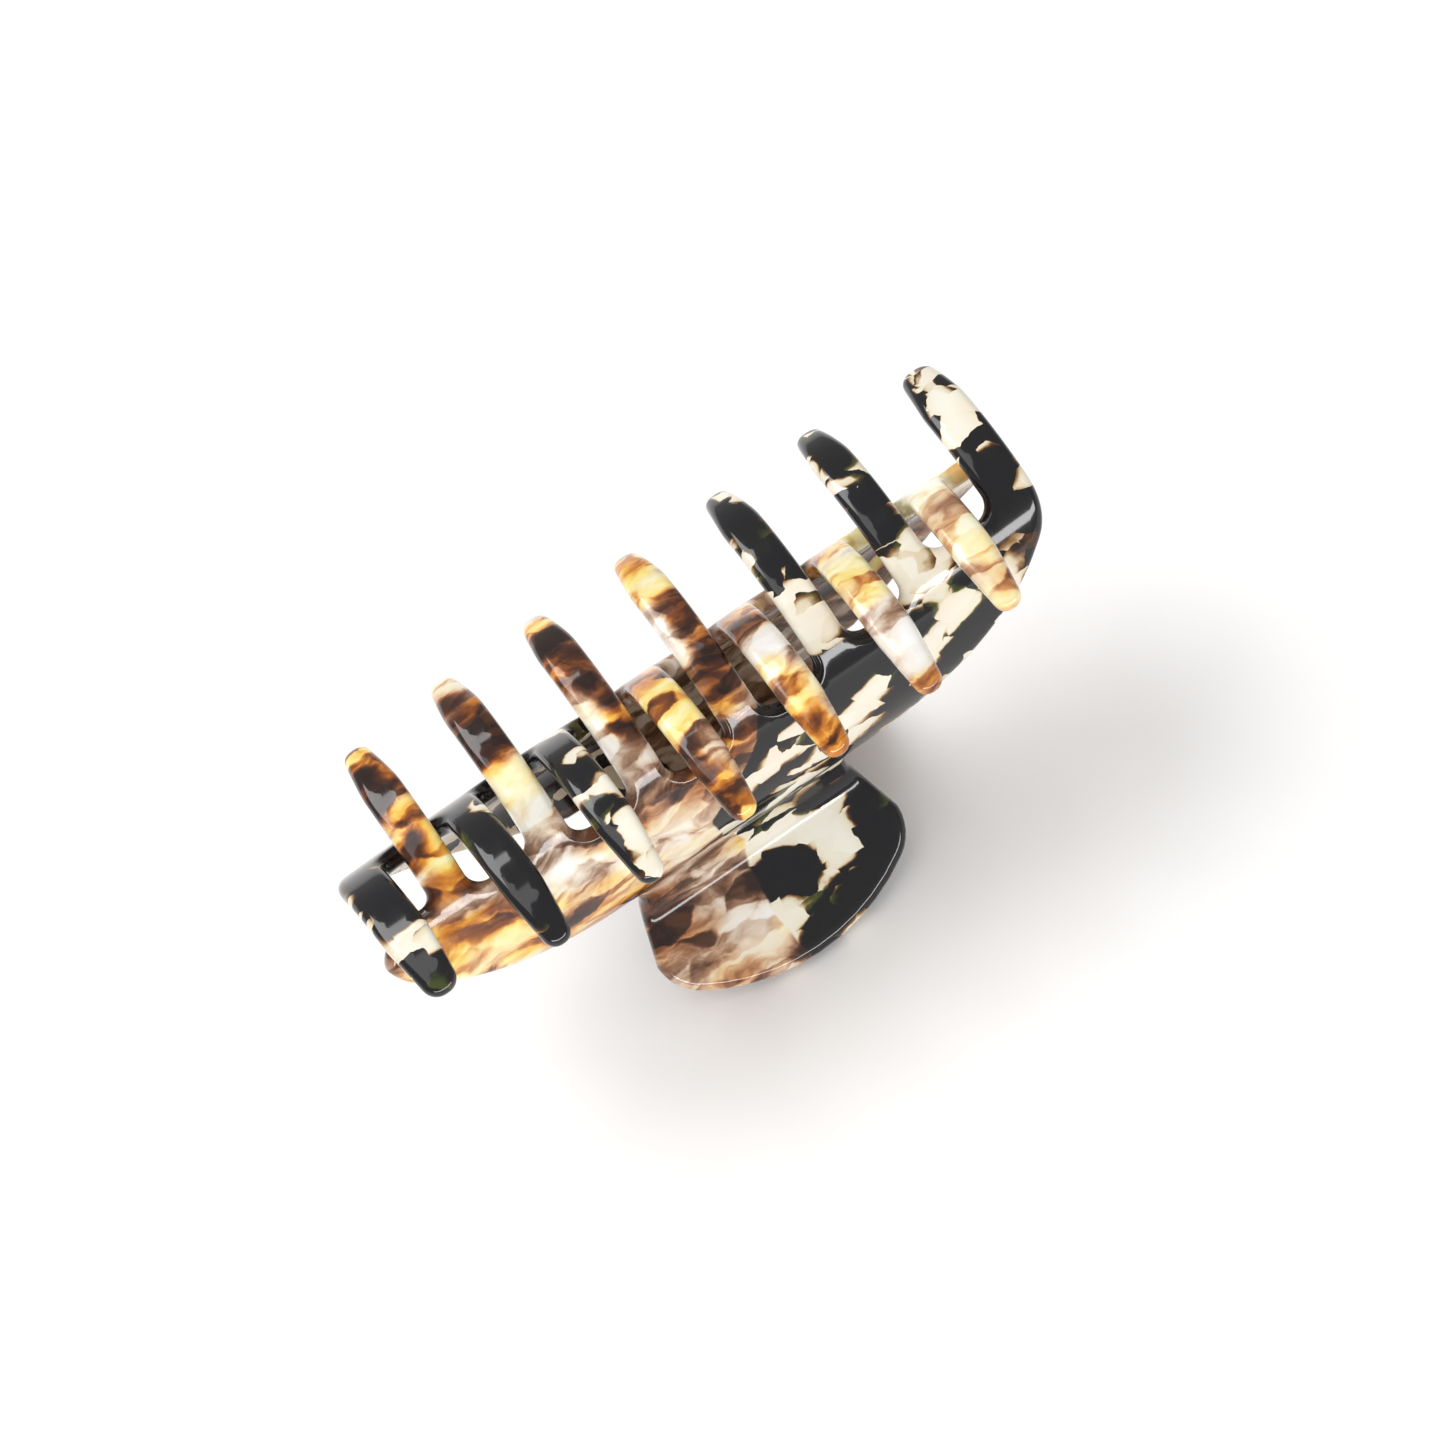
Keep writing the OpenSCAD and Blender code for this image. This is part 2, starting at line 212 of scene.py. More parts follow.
# %% Sizes of the jaw, in millimetres
SHEET = 3.0
EDGE_R = 1.25            # the polished rounding of every edge
ARC_OUT = 20.8           # outer radius of the long bend
ARC_MID = ARC_OUT - SHEET / 2
ARC_BACK = 9.3           # bend centre behind the middle plane
BEND_R = 6.0             # middle radius of both neck bends
NECK_Y, NECK_H = 5.1, 2.5
TAB_DEG, TAB_LEN = 48.0, 16.4
JAW_L, JAW_R = -56.0, 56.8
SHIFT_X = 2.5            # the tab sits a little off the middle
NECK_W, TAB_W, TAB_WIDE, TAB_R = 35.0, 41.0, 5.2, 7.4
PITCH, TOOTH_W, TIP_R, TIP_TAPER, FLUSH_EXTRA = 15.7, 6.0, 1.9, 9.5, 1.0
FLOOR_DEG, FLOOR_RISE, FOOT_R = 28.0, 21.0, 2.8
TIP_DEG, TIP_FLUSH, TIP_BLANK = 134.0, 124.0, 124.0
BELLY_R, BELLY_DROP, BODY_DROP, CORNER_R, NOSE_R = 85.0, 3.3, 9.0, 9.0, 7.0

NECK_ANG = math.acos((NECK_Y + BEND_R + ARC_BACK) / (ARC_MID + BEND_R))
TAB_ANG = math.radians(TAB_DEG)
BEND_Y = NECK_Y + BEND_R
TAB_TIP_Z = TAB_LEN * math.cos(TAB_ANG) + SHEET / 2 * math.sin(TAB_ANG)
Z_B2 = TAB_TIP_Z + BEND_R * math.sin(TAB_ANG)
Z_HINGE = Z_B2 + NECK_H / 2
Z_ARC = Z_B2 + NECK_H + (ARC_MID + BEND_R) * math.sin(NECK_ANG)
LEN_UPPER_BEND, LEN_LOWER_BEND = BEND_R * NECK_ANG, BEND_R * TAB_ANG
S_TAB = -(LEN_UPPER_BEND + NECK_H + LEN_LOWER_BEND)     # where the flat tab begins
S_END = S_TAB - TAB_LEN


def s_of_deg(deg):
    """Place up the line of an angle round the long bend."""
    return ARC_MID * (math.radians(deg) + NECK_ANG)


def s_of_height(z):
    return ARC_MID * (math.asin((z - Z_ARC) / ARC_MID) + NECK_ANG)


print("the line of the section is", round(s_of_deg(TIP_DEG) - S_END, 1), "mm long; hinge at z =", round(Z_HINGE, 2))

# %% [markdown]
# ## The outline of the blank
# The outline is a closed walk round the blank: down and round the thumb tab,
# along the boat-shaped lower edge, up the end tooth and over seven teeth with
# rounded feet between them. Each corner is a point with the radius that it is
# rounded to, which is how a template for sawing would be drawn.

# %% Walk round the blank
def tooth_centres():
    first = JAW_L + (TOOTH_W + FLUSH_EXTRA) / 2
    return [first] + [PITCH * (i - 2.25) for i in range(6)]


def gap_floor(x):
    share = (x - SHIFT_X) / (-JAW_L - PITCH / 2 + SHIFT_X)
    return s_of_deg(FLOOR_DEG + FLOOR_RISE * share * share)


def belly(x):
    """Height of the lower edge of the body at x."""
    z_low = Z_ARC - BODY_DROP
    rise = BELLY_R - math.sqrt(BELLY_R ** 2 - (x - SHIFT_X) ** 2)
    return max(z_low, z_low - BELLY_DROP + rise)


def end_corner(sign):
    """The lower edge turning up into an end of the jaw, from the belly outward."""
    belly_z = Z_ARC - BODY_DROP - BELLY_DROP + BELLY_R
    cx = (JAW_R if sign > 0 else JAW_L) - sign * CORNER_R
    cz = belly_z - math.sqrt((BELLY_R - CORNER_R) ** 2 - (cx - SHIFT_X) ** 2)
    start = math.atan2(cz - belly_z, sign * (cx - SHIFT_X))
    arc = [start * (1 - k / 12) for k in range(13)]
    return [(cx + sign * CORNER_R * math.cos(a), s_of_height(cz + CORNER_R * math.sin(a)), 0) for a in arc]


def blank_end():
    """The lower corner and the nose of the blank end, from the top down."""
    lower = end_corner(1)
    cx, cs = JAW_R - NOSE_R, gap_floor(TOOTH_W / 2 + PITCH * 2.75) - math.radians(1.5) * ARC_MID - NOSE_R
    nose = [(cx + NOSE_R * math.cos(a), cs + NOSE_R * math.sin(a), 0) for a in np.radians(np.arange(90, -20, -6))]
    xs, ss = [q[0] for q in lower], [q[1] for q in lower]
    nose = [q for q in nose if q[1] > ss[-1] or q[0] < np.interp(q[1], ss, xs)]
    lower = [q for q in lower if q[1] < cs or (q[0] - cx) ** 2 + (q[1] - cs) ** 2 < NOSE_R ** 2]
    lower = [q for q in lower if q[1] < nose[-1][1]]
    return nose + lower[::-1]


def tooth_corners(x, s_tip, s_left, s_right, extra=0.0):
    """A tooth from its left foot to its right one."""
    top = TIP_R * 1.01 + extra / 2
    half = (TOOTH_W + extra) / 2
    s_waist = s_tip - TIP_TAPER
    return [(x - half, s_left, FOOT_R), (x - half, s_waist, 20), (x - top, s_tip, top / 1.01),
            (x + top, s_tip, top / 1.01), (x + half, s_waist, 20), (x + half, s_right, FOOT_R)]


def outline_corners():
    """Corners (x, s, radius) of a jaw's blank, clockwise from the neck's left side."""
    x0, half = SHIFT_X, NECK_W / 2
    s_low = s_of_height(Z_ARC - BODY_DROP)
    walk = []
    left = [x for x in np.arange(JAW_L, x0 - half - 5, 2.0)]
    walk += [(x0 - half, s_low, 1.6)]
    left_end, right_end = end_corner(-1), blank_end()
    walk += [(x, s_of_height(belly(x)), 0) for x in left[::-1] if x > left_end[0][0] + 1]
    walk += left_end
    xs = tooth_centres()
    for i, x in enumerate(xs):
        tip = s_of_deg(TIP_FLUSH if i == 0 else TIP_BLANK if i == 6 else TIP_DEG)
        s_l = gap_floor((xs[i - 1] + x) / 2) if i else None
        s_r = gap_floor((x + xs[i + 1]) / 2) if i < 6 else right_end[0][1]
        corners = tooth_corners(x, tip, s_l, s_r, FLUSH_EXTRA if i == 0 else 0.0)
        walk += corners[1:] if i == 0 else corners
    walk += right_end
    right = [x for x in np.arange(JAW_R - 4, x0 + half + 5, -2.0)]
    walk += [(x, s_of_height(belly(x)), 0) for x in right if x < right_end[-1][0] - 1]
    walk += [(x0 + half, s_low, 1.6)]
    # thumb tab: a wide D with two round corners and a gently curved end
    cx = TAB_W / 2 - TAB_R
    big = (cx ** 2 + (TAB_LEN - TAB_WIDE) ** 2 - TAB_R ** 2) / (2 * (TAB_LEN - TAB_WIDE - TAB_R))
    for sign in (1, -1):
        side = [(x0 + sign * half, S_TAB + TAB_WIDE, 6)]
        for a in range(0, 91, 15):
            ang = math.radians(a)
            reach = math.atan2(cx, big - (TAB_LEN - TAB_WIDE))
            turn = ang * (math.pi / 2 - reach) / (math.pi / 2)
            side.append((x0 + sign * (cx + TAB_R * math.cos(turn)), S_TAB - TAB_WIDE - TAB_R * math.sin(turn), 0))
        for share in (0.8, 0.6, 0.4, 0.2):
            ang = reach * share
            side.append((x0 + sign * big * math.sin(ang), S_TAB - (TAB_LEN - big + big * math.cos(ang)), 0))
        if sign > 0:
            walk += side + [(x0, S_END, 0)]
        else:
            walk += side[::-1]
    return walk


def rounded(corners, spacing=0.5):
    """Turns corners with radii into an even chain of points."""
    chain = []
    n = len(corners)
    for i, (x, s, r) in enumerate(corners):
        p, a, b = Vector((x, s)), Vector(corners[i - 1][:2]), Vector(corners[(i + 1) % n][:2])
        u, v = (a - p).normalized(), (b - p).normalized()
        half = u.angle(v) / 2
        if r == 0 or half > math.radians(89.5):
            chain.append(p)
            continue
        cut = min(r / math.tan(half), 0.49 * (a - p).length, 0.49 * (b - p).length)
        r = cut * math.tan(half)
        centre = p + (u + v).normalized() * (r / math.sin(half))
        start, end = p + u * cut - centre, p + v * cut - centre
        sweep = start.angle_signed(end)
        steps = max(2, int(abs(sweep) * r / spacing * 1.6))
        for k in range(steps + 1):
            t = -sweep * k / steps
            chain.append(centre + Vector((start.x * math.cos(t) - start.y * math.sin(t),
                                          start.x * math.sin(t) + start.y * math.cos(t))))
    pts = np.array(chain)
    closed = np.vstack([pts, pts[:1]])
    run = np.concatenate([[0], np.cumsum(np.linalg.norm(np.diff(closed, axis=0), axis=1))])
    even = np.linspace(0, run[-1], int(run[-1] / spacing), endpoint=False)
    return np.stack([np.interp(even, run, closed[:, 0]), np.interp(even, run, closed[:, 1])], 1)


outline = rounded(outline_corners())
print("outline of", len(outline), "points, x", outline[:, 0].min().round(1), outline[:, 0].max().round(1),
      "s", outline[:, 1].min().round(1), outline[:, 1].max().round(1))

# %% [markdown]
# ## From outline to blank
# The polished edge is what makes cut acetate look finished, so the blank gets
# its rounding in the mesh: rings of points run round the outline, each a
# little further in and a little higher, like the rings of a bevel. The faces
# are filled with an even scatter of points, so that they bend smoothly.

# %% Build the flat blank
def inward(loop):
    """Unit normals that point into the blank."""
    ahead, behind = np.roll(loop, -1, 0), np.roll(loop, 1, 0)
    t = ahead - behind
    t /= np.linalg.norm(t, axis=1)[:, None]
    area = 0.5 * np.sum(loop[:, 0] * ahead[:, 1] - ahead[:, 0] * loop[:, 1])
    return np.stack([-t[:, 1], t[:, 0]], 1) * np.sign(area)


def inside(points, loop):
    x, y = points[:, 0][:, None], points[:, 1][:, None]
    x0, y0 = loop[:, 0][None], loop[:, 1][None]
    x1, y1 = np.roll(loop[:, 0], -1)[None], np.roll(loop[:, 1], -1)[None]
    crosses = ((y0 > y) != (y1 > y)) & (x < (x1 - x0) * (y - y0) / (y1 - y0 + 1e-12) + x0)
    return crosses.sum(1) % 2 == 1


def blank_mesh(loop):
    """Flat blank: x along the clip, y up the line, z through the sheet; millimetres."""
    normal = inward(loop)
    for _ in range(6):
        normal = (np.roll(normal, 1, 0) + 2 * normal + np.roll(normal, -1, 0)) / 4
    normal /= np.linalg.norm(normal, axis=1)[:, None]
    h = SHEET / 2
    angles = np.radians([0, 22.5, 45, 67.5, 90])
    upper = [(EDGE_R * (1 - math.sin(a)), h - EDGE_R + EDGE_R * math.cos(a)) for a in angles]
    rings = upper + [(d, -z) for d, z in upper[::-1]]
    verts, faces, n = [], [], len(loop)
    for d, z in rings:
        ring = loop + normal * d
        verts += [(p[0], p[1], z) for p in ring]
    for k in range(len(rings) - 1):
        for i in range(n):
            j = (i + 1) % n
            faces.append((k * n + i, k * n + j, (k + 1) * n + j, (k + 1) * n + i))
    inner = loop + normal * EDGE_R
    grid = [(x + 0.5 * (row % 2), y) for row, y in enumerate(np.arange(S_END, 62, 0.87)) for x in np.arange(-56, 58, 1.0)]
    grid = np.array(grid)
    keep = np.concatenate([inside(part, inner) for part in np.array_split(grid, 12)])
    grid = grid[keep]
    gap = np.concatenate([np.min(np.linalg.norm(part[:, None] - inner[None, ::2], axis=2), axis=1) for part in np.array_split(grid, 24)])
    grid = grid[gap > 0.55]
    points = [Vector(p) for p in np.vstack([inner, grid])]
    edges = [(i, (i + 1) % n) for i in range(n)]
    out = geometry.delaunay_2d_cdt(points, edges, [], 1, 1e-5)
    source = [o[0] for o in out[3]]
    top = {}
    for side, z in ((0, h), (len(rings) - 1, -h)):
        where = {}
        for k, o in enumerate(source):
            if o < n:
                where[k] = side * n + o
            else:
                where[k] = len(verts)
                verts.append((out[0][k].x, out[0][k].y, z))
        for f in out[2]:
            f = [where[k] for k in f]
            faces.append(tuple(f) if side == 0 else tuple(f[::-1]))
        top[side] = where
    mesh = bpy.data.meshes.new("blank")
    mesh.from_pydata(verts, [], faces)
    bm = bmesh.new()
    bm.from_mesh(mesh)
    bmesh.ops.recalc_face_normals(bm, faces=bm.faces)
    bm.to_mesh(mesh)
    bm.free()
    return mesh


blank = blank_mesh(outline)
print("blank:", len(blank.vertices), "points,", len(blank.polygons), "faces")

# %% [markdown]
# ## Where the colours lie
# Acetate for such clips is pressed from coloured chips. This one is two slabs
# glued edge to edge: a calico of black and ivory, and a tortoise of brown,
# amber and pearl. The larger chips are listed as soft patches (x, s,
# half-width, half-height, turn, tone, warmth), and the finish breaks them up.
# Tone runs from -1, dark, to 1, pale; warmth from 0, pearl grey, to 1, amber.

# %% Listed chips of the two jaws
FRONT_CHIPS = [
    # thumb tab, tortoise half and calico half
    (-14, -18, 7, 5, 30, -0.1, 0.25), (-19, -13, 4, 6, 0, -0.35, 0.55), (-9, -19, 4, 3, 50, 0.5, 0.0), (-16, -23, 6, 3, 15, 0.25, 0.5),
    (-12, -11, 5, 2, 15, -0.2, 0.2), (-8, -7, 4, 2, 20, 0.3, 0.1), (-18, -8, 4, 3, 0, -0.4, 0.5), (-8, -24, 4, 3, 60, 0.6, 0.35),
    (3, -9.5, 5.0, 2.8, -20, 1.2, 0.2), (-1.0, -14.5, 3.8, 2.6, 0, -1.1, 0), (7, -15.0, 3.0, 4.6, 20, 1.2, 0.1), (10.5, -10.8, 3.2, 1.5, 16, 1.0, 0.1), (14, -15, 4, 5.5, 0, -1.0, 0),
    (-0.5, -20, 5.2, 2.0, 15, 1.1, 0.5), (6, -23, 9, 3, 0, -1.0, 0), (1.5, -18, 3.5, 1.6, 30, -0.9, 0), (11, -8, 5, 2.5, 0, -0.9, 0),
    (-2, -25.5, 4, 1.6, 0, -0.9, 0), (-1, -6, 5, 2, 0, 0.2, 0.6),
    # body, tortoise half
    (-50, 19, 4, 5, 0, 0.15, 0.9), (-44, 15, 7, 2.5, -12, 0.5, 0.6), (-42, 20, 6, 2, -8, -0.3, 0.8), (-36, 16, 6, 2, -8, 0.35, 0.8),
    (-33, 11, 8, 2, -10, -0.15, 0.9), (-29, 19, 6, 2.2, -5, 0.6, 0.2), (-24, 13, 7, 2, -10, 0.3, 0.5), (-20, 20, 5, 2, -8, -0.5, 0.7),
    (-13, 17, 7, 2.5, -8, -0.2, 0.4), (-6, 20, 6, 2, -5, -0.55, 0.7), (-8, 14, 6, 2, -10, 0.25, 0.1), (-14, 9, 8, 2.5, -5, 0.1, 0.4),
    (0, 22, 6, 2, 0, -0.5, 0.8), (-26, 6, 8, 3, 0, -0.1, 0.8),
    # body, calico half
    (16, 21, 10, 3.4, 0, -1.0, 0), (8, 17, 5, 1.5, 18, 0.8, 0.3), (20, 15, 7, 1.6, 22, 0.7, 0.3), (31, 17, 4, 1.5, 35, 0.9, 0.1),
    (30, 21, 4, 2, 10, -0.9, 0), (38, 19, 4.5, 1.6, 25, 0.9, 0.1), (45, 18, 3.5, 1.6, 60, 0.8, 0.1), (35, 13.5, 6, 2, 25, -0.9, 0),
    (42, 22, 3, 2, 0, -0.8, 0), (50, 21, 3, 2, 0, 0.2, 0.2), (12, 11, 7, 2.4, 10, 0.5, 0.1), (4, 12, 5, 1.6, 8, -0.7, 0), (24, 9, 8, 2.2, 15, -0.6, 0.3),
    (51, 15, 5, 2.4, 40, -0.9, 0), (2, 5, 9, 3, 0, 0.2, 0.3),
    # teeth, left to right
    (-43, 51.5, 3.5, 2.4, 20, 0.05, 1.0), (-45, 44.5, 2.4, 3.4, 0, -0.75, 0.9), (-41, 46, 1.4, 4, 10, 0.0, 1.0), (-43, 38.5, 3, 1.8, 15, 0.45, 0.7),
    (-44, 33.5, 2.6, 2.4, 0, -0.45, 1.0), (-41.5, 32, 1.6, 4, 0, 0.35, 1.0), (-43, 27.5, 3.5, 2, 0, 0.25, 0.9),
    (-27, 54, 3.2, 2.8, 0, 0.8, 0.35), (-28.6, 49.6, 1.8, 1.6, 0, -0.5, 0.8), (-26, 46.2, 3.4, 0.9, 15, 0.1, 1.0), (-28, 44.2, 2.6, 2.2, 20, -0.9, 0.6),
    (-26.5, 40.5, 3.4, 2.8, 25, -0.65, 0.9), (-28.6, 37.5, 1.6, 1.6, 0, 0.1, 0.9), (-27, 34, 3.6, 2.6, 0, 0.55, 0.6), (-27, 28, 4, 3, 0, 0.65, 0.15),
    (-12.5, 53, 2.6, 1.5, 0, 0.3, 0.95), (-12, 48, 3, 3, 20, -0.75, 0.8), (-13.8, 42.5, 2.2, 2.4, 0, -0.2, 1.0), (-11, 41.5, 1.6, 3, 0, -0.6, 0.9),
    (-13.8, 36, 2, 3.2, 0, 0.55, 0.2), (-10.6, 34, 1.6, 4, 0, -0.5, 0.9), (-13, 29, 3, 2.4, 0, 0.35, 0.1),
    (3, 51, 3.4, 3, 0, 0.42, 1.0), (3.2, 45.6, 3.4, 1.6, 0, 0.5, 0.95), (5, 41, 2.2, 2.8, 20, -0.65, 0.8), (1.6, 38, 1.6, 4, 10, 0.6, 0.05),
    (4.4, 33.5, 2.8, 3.4, -20, -0.5, 0.8), (2, 28, 3.4, 2.2, 0, -0.35, 0.7),
    (20.8, 53.6, 1.4, 2.4, 0, 0.8, 0.1), (18.4, 51, 2.2, 3.6, 0, -1.0, 0), (20, 44.5, 3, 3, 0, -0.95, 0), (17.2, 44.4, 1.2, 1.2, 30, 0.9, 0.1),
    (16.8, 40.6, 1.1, 1.8, 0, 0.5, 0.9), (20.4, 39.5, 2.4, 2.2, 0, -0.9, 0), (19, 36.2, 2.6, 1.4, 0, -0.35, 0.9), (19.5, 29.5, 4, 4, 0, 1.0, 0.1),
    (35.5, 50, 2.6, 2.6, 0, -1.0, 0), (32.6, 47.5, 1.2, 2.6, 0, 0.8, 0), (35, 45.8, 2.4, 1.6, -20, -0.9, 0), (34, 42.6, 3, 1.2, -25, 0.9, 0.4),
    (34.6, 39.8, 2.2, 1.7, 0, -0.35, 1.0), (34.5, 35.6, 3.2, 2.6, 0, -1.0, 0), (35.5, 28.5, 4.4, 4, 0, 1.0, 0.1),
    (49.4, 47, 1.6, 5.5, 5, -1.0, 0), (52.6, 49, 1.7, 3, 0, 0.85, 0.1), (52, 41.5, 2.4, 4, 0, 0.9, 0.1), (54, 41, 1, 2, 0, -0.3, 0.7),
    (49.4, 38, 1.4, 2, 0, 0.7, 0), (51.5, 32, 3.4, 2.6, 0, -1.0, 0), (51, 27, 4, 1.6, 0, -0.7, 0),
]
BACK_CHIPS = [
    (-51.5, 51, 3, 2.4, 0, -0.35, 0.9), (-51, 46, 3, 2.2, 10, 0.95, 0.2), (-51.5, 38, 3.2, 6, 0, -1.0, 0),
    (-35, 45, 3.4, 11, 0, -1.0, 0), (-32.5, 37, 1.4, 1.6, 0, 0.5, 0.2), (-36, 31, 3.2, 3.4, 0, -0.8, 0), (-33, 32, 1.8, 1.4, 0, 0.6, 0.5),
    (-19.5, 55.5, 3.2, 1.6, 0, 0.75, 0.7), (-20.5, 53, 1.4, 1.2, 0, -0.3, 1.0), (-18.4, 49.5, 2.2, 2.4, 0, 0.95, 0.2), (-21.6, 49.5, 1.2, 3, 0, -0.9, 0),
    (-20.4, 44.6, 2.8, 1.6, 20, -0.9, 0), (-18, 41.6, 2, 1.8, 30, 0.8, 0.2), (-20.6, 38.6, 2.6, 2, 0, -0.9, 0), (-18.4, 36, 1.8, 1.5, 30, 0.9, 0.3),
    (-20, 31.5, 3.4, 3, 0, -1.0, 0),
    (-4.5, 55.5, 2.6, 1.6, 0, 0.0, 1.0), (-5, 51, 2.4, 2.6, 20, -0.2, 0.95), (-2.8, 47, 1.6, 3, 0, 0.45, 0.4), (-5.4, 45, 1.8, 2.4, 0, -0.1, 0.9),
    (-4.4, 40, 3, 2.6, 0, 0.2, 1.0), (-4.4, 35, 3, 2, 0, 0.35, 0.95), (-4.4, 30.6, 3.4, 2.2, 0, -0.6, 0.9),
    (11.5, 55, 2.8, 2.2, 0, 0.35, 1.0), (10.6, 50.6, 2, 2.4, 0, 0.1, 1.0), (12.6, 46.5, 2.4, 2.6, 0, 0.4, 0.75), (10.4, 42.5, 2, 2.2, 0, 0.3, 0.7),
    (11.6, 38, 3.2, 2.6, 0, 0.7, 0.1), (11.6, 33, 3.2, 2, 0, -0.45, 0.8),
    (27, 55.5, 2.4, 1.5, 0, 0.1, 0.9), (28.4, 50.6, 1.8, 3, 20, 0.75, 0.05), (25.6, 49, 1.6, 3, 0, 0.15, 0.1), (27, 45, 3, 1.2, -15, 0.1, 0.2),
    (27, 40.6, 3.2, 2.2, 0, 0.6, 0.75), (27, 35.6, 3.2, 2.6, 0, 0.5, 0.85),
    (43, 50, 3, 4, 0, 0.6, 0.45), (43.5, 42, 3, 4, 0, 0.55, 0.6), (43, 33, 3.4, 5, 0, 0.6, 0.5),
    (-45, 26, 8, 3, 0, -0.9, 0), (-28, 27, 6, 2.4, 0, -0.5, 0.2), (-12, 27, 6, 3, 0, -0.4, 0.9), (4, 27, 7, 3, 0, -0.2, 0.95), (20, 27, 7, 3, 0, 0.3, 0.9),
    (35, 27, 7, 3, 0, 0.5, 0.8), (50, 24, 7, 5, 0, 0.5, 0.6), (-38, 16, 8, 3, 10, 0.7, 0.1), (-25, 14, 6, 3, 15, -0.9, 0), (30, 14, 9, 3, 0, -0.2, 0.9),
    (-4, -14, 7, 4, 10, 0.9, 0.2), (8, -17, 8, 5, 0, -0.3, 0.8), (14, -22, 7, 3, 0, 0.4, 0.7), (-12, -20, 7, 4, 0, -1.0, 0),
]
# the glued joint between the slabs, as (x, s) from the tab's end to the teeth
FRONT_JOINT = [(-4, -28), (-5, -20), (-4.5, -12), (-3, -6), (-6, 4), (-7, 12), (4, 20), (8, 26), (11, 40), (11, 62)]
BACK_JOINT = [(2, -28), (1, -14), (-5, -6), (-8, 12), (-12, 26), (-12, 62)]
print(len(FRONT_CHIPS), "chips in front,", len(BACK_CHIPS), "behind")


# %% Spread the chips over the blank
def chip_fields(x, s, chips, joint, calico_side):
    """Tone, warmth and slab at every point; slab is below 0.5 in the calico."""
    tone, warm, total = np.zeros_like(x), np.zeros_like(x), np.full_like(x, 0.15)
    for cx, cs, w, h, turn, t, wm in chips:
        a = math.radians(turn)
        u = ((x - cx) * math.cos(a) + (s - cs) * math.sin(a)) / w
        v = (-(x - cx) * math.sin(a) + (s - cs) * math.cos(a)) / h
        share = np.exp(-(u * u + v * v) ** 1.5 * 0.9)
        tone += share * t
        warm += share * wm
        total += share
    places = np.array(joint, float)
    edge = np.interp(s, places[:, 1], places[:, 0])
    slab = np.clip(0.5 - calico_side * (x - edge) / 16, 0, 1)
    return tone / total * 0.5 + 0.5, warm / total, slab, np.clip(total, 0, 1)


def add_finish_data(mesh, chips, joint, calico_side, facing):
    """Writes the sheet's own coordinates and the chips' fields on the blank."""
    co = np.array([v.co for v in mesh.vertices])
    fields = chip_fields(co[:, 0] * facing, co[:, 1], chips, joint, calico_side)
    plan = mesh.attributes.new("plan", "FLOAT_COLOR", "POINT")
    plan.data.foreach_set("color", np.stack(fields, 1).astype(np.float32).ravel())
    uv = mesh.uv_layers.new(name="sheet")
    loops = np.array([l.vertex_index for l in mesh.loops])
    flat = np.stack([co[loops, 0] * facing, co[loops, 1]], 1) * 0.01
    uv.data.foreach_set("uv", flat.astype(np.float32).ravel())


front_blank, back_blank = blank.copy(), blank.copy()
add_finish_data(front_blank, FRONT_CHIPS, FRONT_JOINT, 1, -1)
add_finish_data(back_blank, BACK_CHIPS, BACK_JOINT, -1, 1)
print("chips laid on both blanks")

# %% [markdown]
# ## Bending the blank
# The maker warms the blank and presses it round a form. A Geometry Nodes tree
# does the same: it walks up the line of the section and adds, for each
# stretch, how far that stretch has carried the point and how much it has
# turned it. The sizes of the form are named inputs, so another form needs no
# new mesh.

# %% The bending tree
def new_tree(name, inputs):
    tree = bpy.data.node_groups.new(name, "GeometryNodeTree")
    tree.interface.new_socket("Geometry", in_out="INPUT", socket_type="NodeSocketGeometry")
    for label, kind in inputs:
        tree.interface.new_socket(label, in_out="INPUT", socket_type=kind)
    tree.interface.new_socket("Geometry", in_out="OUTPUT", socket_type="NodeSocketGeometry")
    entry = tree.nodes.new("NodeGroupInput")
    exit_node = tree.nodes.new("NodeGroupOutput")
    return tree, {s.name: Sock(tree, s) for s in entry.outputs if s.name}, exit_node


